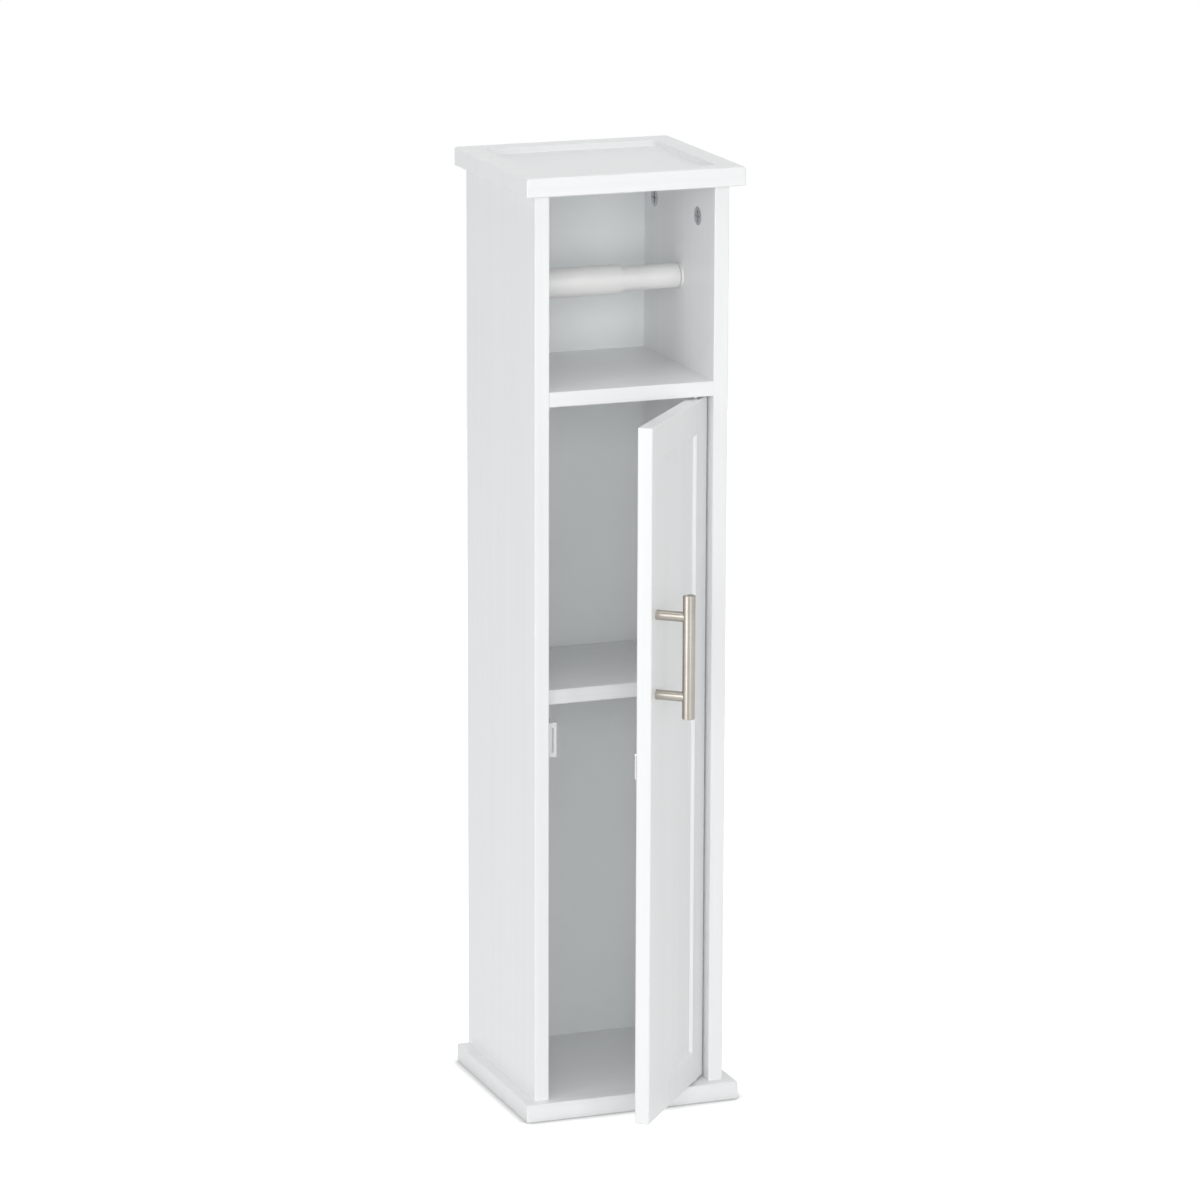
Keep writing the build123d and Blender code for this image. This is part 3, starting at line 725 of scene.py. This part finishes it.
@dataclass
class Door:
    """The door panel with its bar handle, pivot pins and strike plate."""

    bench: Workbench
    joint: dict = field(default_factory=lambda: joint_named("door_pivot"))
    thickness: float = 0.012
    bar_facets: int = 96
    bar_rounding: float = 0.0006
    rounding_facets: int = 4
    post_radius: float = 0.004
    post_facets: int = 64
    steel: tuple[str, ...] = (
        "upper_hinge_pin",
        "lower_hinge_pin",
        "handle_screws",
        "strike_plate",
        "strike_screw",
    )

    def outward(self) -> Vector:
        """The direction that the door's front faces, with the door standing open."""
        turned = -radians(self.joint["range_deg"][0])
        return Vector((sin(turned), -cos(turned), 0))

    def build(self) -> None:
        """Dress the panel and make its handle."""
        self.bench.dress("door_panel", LACQUER_UPRIGHT)
        for node in self.steel:
            self.bench.dress(node, PLATED_STEEL)
        self.make_bar()
        self.make_posts()

    def make_bar(self) -> None:
        """Make the round bar with eased ends."""
        low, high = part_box("handle_bar")
        middle = (low + high) / 2
        radius = (high.x - low.x) / 2
        mesh = bmesh.new()
        foot = seat_at(Vector((middle.x, middle.y, low.z)), Axis.Z.value, Axis.X.value)
        length = high.z - low.z
        outline = [(0, 0), (radius, 0), (radius, length), (0, length)]
        spin_outline(mesh, outline, foot, self.bar_facets)
        soften(mesh, self.bar_rounding, self.rounding_facets)
        map_turned(list(mesh.faces), mesh.loops.layers.uv.new(TURNED_MAP), foot, length)
        self.bench.piece(
            mesh, "handle_bar_turned", "handle_bar", "door", "satin_nickel", SATIN_NICKEL
        )

    def make_posts(self) -> None:
        """Make the two posts, each from the door's face into the bar."""
        bar_low, bar_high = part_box("handle_bar")
        bar = (bar_low + bar_high) / 2
        low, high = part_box("handle_posts")
        outward = self.outward()
        pivot = Vector(self.joint["pos_m"])
        reach = (bar - pivot).dot(outward) - self.thickness / 2
        mesh = bmesh.new()
        layer = mesh.loops.layers.uv.new(TURNED_MAP)
        for height in (low.z + self.post_radius, high.z - self.post_radius):
            foot = Vector((bar.x, bar.y, height)) - outward * reach
            seat = seat_at(foot, outward, Axis.Z.value)
            outline = [(0, 0), (self.post_radius, 0), (self.post_radius, reach), (0, reach)]
            faces = spin_outline(mesh, outline, seat, self.post_facets)
            map_turned(faces, layer, seat, reach)
        self.bench.piece(
            mesh, "handle_posts_turned", "handle_posts", "door", "satin_nickel", SATIN_NICKEL
        )


@dataclass
class Catch:
    """The magnetic catch on the left panel."""

    bench: Workbench

    def build(self) -> None:
        """Dress the catch's pieces."""
        self.bench.dress("catch_body", WHITE_MOULDING)
        self.bench.dress("catch_magnet", DARK_FERRITE)
        self.bench.dress("catch_poles", PLATED_STEEL)
        self.bench.dress("catch_screws", PLATED_STEEL)


@dataclass
class Pivots:
    """The flanged bushes that the door's pins turn in."""

    bench: Workbench

    def build(self) -> None:
        """Dress the bushes."""
        self.bench.dress("lower_hinge_bush", NATURAL_NYLON)
        self.bench.dress("upper_hinge_bush", NATURAL_NYLON)


@dataclass
class Spindle:
    """The sprung spindle and its sockets."""

    bench: Workbench
    travel: dict = field(default_factory=lambda: joint_named("plunger_press"))
    wire_radius: float = 0.0006
    spring_turns: int = 7
    steps_in_turn: int = 36
    wire_facets: int = 14
    mouldings: tuple[str, ...] = (
        "left_spindle_socket",
        "right_spindle_socket",
        "spindle_sleeve",
        "spindle_plunger",
    )

    def build(self) -> None:
        """Dress the spindle's pieces and coil its spring."""
        for node in self.mouldings:
            self.bench.dress(node, WHITE_MOULDING)
        self.make_spring()

    def make_spring(self) -> None:
        """Sweep the wire round the spindle's axis as a coil spring, with a mesh of its own."""
        low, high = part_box("spindle_spring")
        middle = (low + high) / 2
        coil_radius = (high.z - low.z) / 2 - self.wire_radius
        length = high.x - low.x - 2 * self.wire_radius
        start = Vector((low.x + self.wire_radius, middle.y + coil_radius, middle.z))
        mesh = bmesh.new()
        seat = Matrix.Translation(start)
        bmesh.ops.create_circle(
            mesh, segments=self.wire_facets, radius=self.wire_radius, matrix=seat
        )
        steps = self.spring_turns * self.steps_in_turn
        bmesh.ops.spin(
            mesh,
            geom=list(mesh.verts) + list(mesh.edges),
            cent=middle,
            axis=Axis.X.value,
            dvec=Axis.X.value * (length / steps),
            angle=2 * pi * self.spring_turns,
            steps=steps,
        )
        bmesh.ops.holes_fill(mesh, edges=[edge for edge in mesh.edges if edge.is_boundary])
        spring = self.bench.piece(
            mesh,
            "spindle_spring_coil",
            "spindle_spring",
            "spindle_sleeve",
            "spring_steel",
            SPRING_WIRE,
        )
        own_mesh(spring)


@dataclass(frozen=True)
class Lamp:
    """A soft lamp on a sphere round the cabinet.

    Attributes:
        name: The lamp's name.
        azimuth: Its direction round the cabinet from the front, to the right, in degrees.
        elevation: Its direction above the floor, in degrees.
        power: Its power, in watts.
        width: The width of its face, in metres.
        height: The height of its face, in metres.
        distance: Its distance from the point that it is aimed at, in metres.
        colour: The colour of its light.
        aim: The point that it is aimed at, in metres.
        mirrored: Whether the cabinet reflects it.
        lit: Whether it lights matt surfaces.
    """

    name: str
    azimuth: float
    elevation: float
    power: float
    width: float
    height: float
    distance: float = 4.2
    colour: tuple[float, float, float] = (1.0, 1.0, 1.0)
    aim: tuple[float, float, float] = (0.0, 0.0, 0.4)
    mirrored: bool = True
    lit: bool = True

    def build(self) -> None:
        """Hang the lamp and aim it at the cabinet."""
        turn = radians(self.azimuth)
        rise = radians(self.elevation)
        outward = Vector((sin(turn) * cos(rise), -cos(turn) * cos(rise), sin(rise)))
        data = bpy.data.lights.new(self.name, "AREA")
        data.shape = "RECTANGLE"
        data.size = self.width
        data.size_y = self.height
        data.energy = self.power
        data.color = self.colour
        lamp = bpy.data.objects.new(self.name, data)
        lamp.location = Vector(self.aim) + outward * self.distance
        lamp.rotation_euler = outward.to_track_quat("Z", "Y").to_euler()
        lamp.visible_camera = False
        lamp.visible_glossy = self.mirrored
        lamp.visible_diffuse = self.lit
        bpy.context.scene.collection.objects.link(lamp)


LAMPS = (
    Lamp("window_lamp", -62.0, 16.0, 24.0, 0.9, 2.8),
    Lamp("camera_lamp", -20.0, 10.0, 60.0, 2.6, 2.4, mirrored=False),
    Lamp("right_strip", 8.0, 14.0, 18.0, 0.8, 2.8),
    Lamp("right_lamp", 45.0, 15.0, 10.0, 2.2, 2.2),
    Lamp("overhead_lamp", -20.0, 80.0, 46.0, 2.4, 2.4),
    Lamp("side_lamp", -92.0, 15.0, 16.0, 2.2, 2.2, colour=(0.94, 0.97, 1.0)),
    Lamp("back_lamp", 160.0, 15.0, 24.0, 2.2, 2.2, mirrored=False),
    Lamp("left_sheen", -62.0, 14.0, 65.0, 2.4, 2.8, lit=False),
    Lamp("right_sheen", 8.0, 14.0, 30.0, 1.6, 2.8, lit=False),
)


@dataclass
class Studio:
    """The pale floor, the white world, the soft lamps and the camera."""

    floor_size: float = 5.0
    floor_lift: float = 0.6
    floor_tone: float = 0.82
    floor_roughness: float = 0.9
    # painted contact shadow on the floor: occlusion samples, reach, the occlusion where it starts,
    # and its darkest tone
    painted_shade_samples: int = 16
    painted_shade_reach: float = 0.012
    painted_shade_start: float = 0.5
    painted_shade_tone: float = 0.45
    ambient: float = 0.34
    camera_place: Vector = field(default_factory=lambda: Vector((-1.52698, -4.07741, 1.45790)))
    camera_yaw: float = -20.558
    camera_pitch: float = -13.586
    camera_roll: float = 0.168
    focal_pixels: float = 5562.57
    image_pixels: float = 1200.0
    sensor_width: float = 36.0

    def build(self) -> None:
        """Build the floor, the world, the lamps and the camera."""
        self.make_floor()
        self.make_world()
        for lamp in LAMPS:
            lamp.build()
        self.make_camera()
        bpy.context.scene.view_settings.view_transform = "Standard"

    def backdrop_rays(self, tree: bpy.types.NodeTree) -> bpy.types.NodeSocket:
        """One for camera, glossy and transmission rays, and zero for the rest.

        Args:
            tree: The node tree that gets the nodes.

        Returns:
            The socket with the value.
        """
        path = tree.nodes.new("ShaderNodeLightPath")
        total = path.outputs["Is Camera Ray"]
        for name in ("Is Glossy Ray", "Is Transmission Ray"):
            highest = tree.nodes.new("ShaderNodeMath")
            highest.operation = "MAXIMUM"
            tree.links.new(total, highest.inputs[0])
            tree.links.new(path.outputs[name], highest.inputs[1])
            total = highest.outputs[0]
        return total

    def make_floor(self) -> None:
        """Make a wide floor for the cabinet to stand on."""
        mesh = bmesh.new()
        bmesh.ops.create_grid(mesh, x_segments=1, y_segments=1, size=self.floor_size / 2)
        data = bpy.data.meshes.new("floor")
        mesh.to_mesh(data)
        mesh.free()
        floor = bpy.data.objects.new("floor", data)
        bpy.context.scene.collection.objects.link(floor)
        data.materials.append(self.floor_paint())

    def floor_paint(self) -> bpy.types.Material:
        """Make a pale paint that keeps the cabinet's shadow, adds painted shade where it meets the
        cabinet, and is white elsewhere.

        Returns:
            The finished material.
        """
        tree = NodeTree("pale_floor")
        # painted contact shadow: an ambient occlusion node darkens the floor's colour and its
        # white lift next to the cabinet
        contact = tree.add(
            "ShaderNodeAmbientOcclusion", samples=self.painted_shade_samples, Distance=self.painted_shade_reach
        )
        painted_shade = tree.add(
            "ShaderNodeMapRange", From_Min=self.painted_shade_start, To_Min=self.painted_shade_tone
        )
        tree.link(contact.outputs["AO"], painted_shade.inputs["Value"])
        tone = tree.add("ShaderNodeValToRGB")
        tone.color_ramp.elements[0].color = grey(0.0)
        tone.color_ramp.elements[1].color = grey(self.floor_tone)
        tree.link(painted_shade.outputs["Result"], tone.inputs["Fac"])
        tree.link(tone.outputs["Color"], tree.surface.inputs["Base Color"])
        tree.surface.inputs["Roughness"].default_value = self.floor_roughness
        lift = tree.add("ShaderNodeEmission")
        lift.inputs["Color"].default_value = grey(1.0)
        strength = tree.add("ShaderNodeMath", operation="MULTIPLY")
        strength.inputs[1].default_value = self.floor_lift
        tree.link(self.backdrop_rays(tree.material.node_tree), strength.inputs[0])
        painted_shade_lift = tree.add("ShaderNodeMath", operation="MULTIPLY")
        tree.link(strength.outputs[0], painted_shade_lift.inputs[0])
        tree.link(painted_shade.outputs["Result"], painted_shade_lift.inputs[1])
        tree.link(painted_shade_lift.outputs[0], lift.inputs["Strength"])
        both = tree.add("ShaderNodeAddShader")
        tree.link(tree.surface.outputs[0], both.inputs[0])
        tree.link(lift.outputs[0], both.inputs[1])
        tree.link(both.outputs[0], tree.nodes["Material Output"].inputs["Surface"])
        return tree.material

    def make_world(self) -> None:
        """Make a world that is white to the eye and lights the cabinet softly."""
        world = bpy.data.worlds.new("studio_world")
        bpy.context.scene.world = world
        world.use_nodes = True
        tree = world.node_tree
        background = tree.nodes["Background"]
        background.inputs["Color"].default_value = grey(1.0)
        strength = tree.nodes.new("ShaderNodeMapRange")
        strength.inputs["To Min"].default_value = self.ambient
        strength.inputs["To Max"].default_value = 1.0
        tree.links.new(self.backdrop_rays(tree), strength.inputs["Value"])
        tree.links.new(strength.outputs["Result"], background.inputs["Strength"])

    def make_camera(self) -> None:
        """Make the camera at the photograph's viewing angle."""
        yaw = radians(self.camera_yaw)
        pitch = radians(self.camera_pitch)
        roll = radians(self.camera_roll)
        forward = Vector((-sin(yaw) * cos(pitch), cos(yaw) * cos(pitch), sin(pitch)))
        level_right = Vector((cos(yaw), sin(yaw), 0))
        level_up = level_right.cross(forward)
        right = cos(roll) * level_right + sin(roll) * level_up
        up = cos(roll) * level_up - sin(roll) * level_right
        data = bpy.data.cameras.new("camera")
        data.sensor_width = self.sensor_width
        data.lens = self.focal_pixels * self.sensor_width / self.image_pixels
        camera = bpy.data.objects.new("camera", data)
        turn = Matrix((right, up, -forward)).transposed().to_4x4()
        camera.matrix_world = Matrix.Translation(self.camera_place) @ turn
        bpy.context.scene.collection.objects.link(camera)
        bpy.context.scene.camera = camera


def main() -> None:
    """Build the studio and every sub-assembly, and report each one."""
    logging.basicConfig(level=logging.INFO, format="%(message)s")
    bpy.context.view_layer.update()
    Studio().build()
    bench = Workbench(Paint())
    for part in (Carcass(bench), Door(bench), Catch(bench), Pivots(bench), Spindle(bench)):
        part.build()
        LOG.info("built %s", type(part).__name__)


if __name__ == "__main__":
    main()
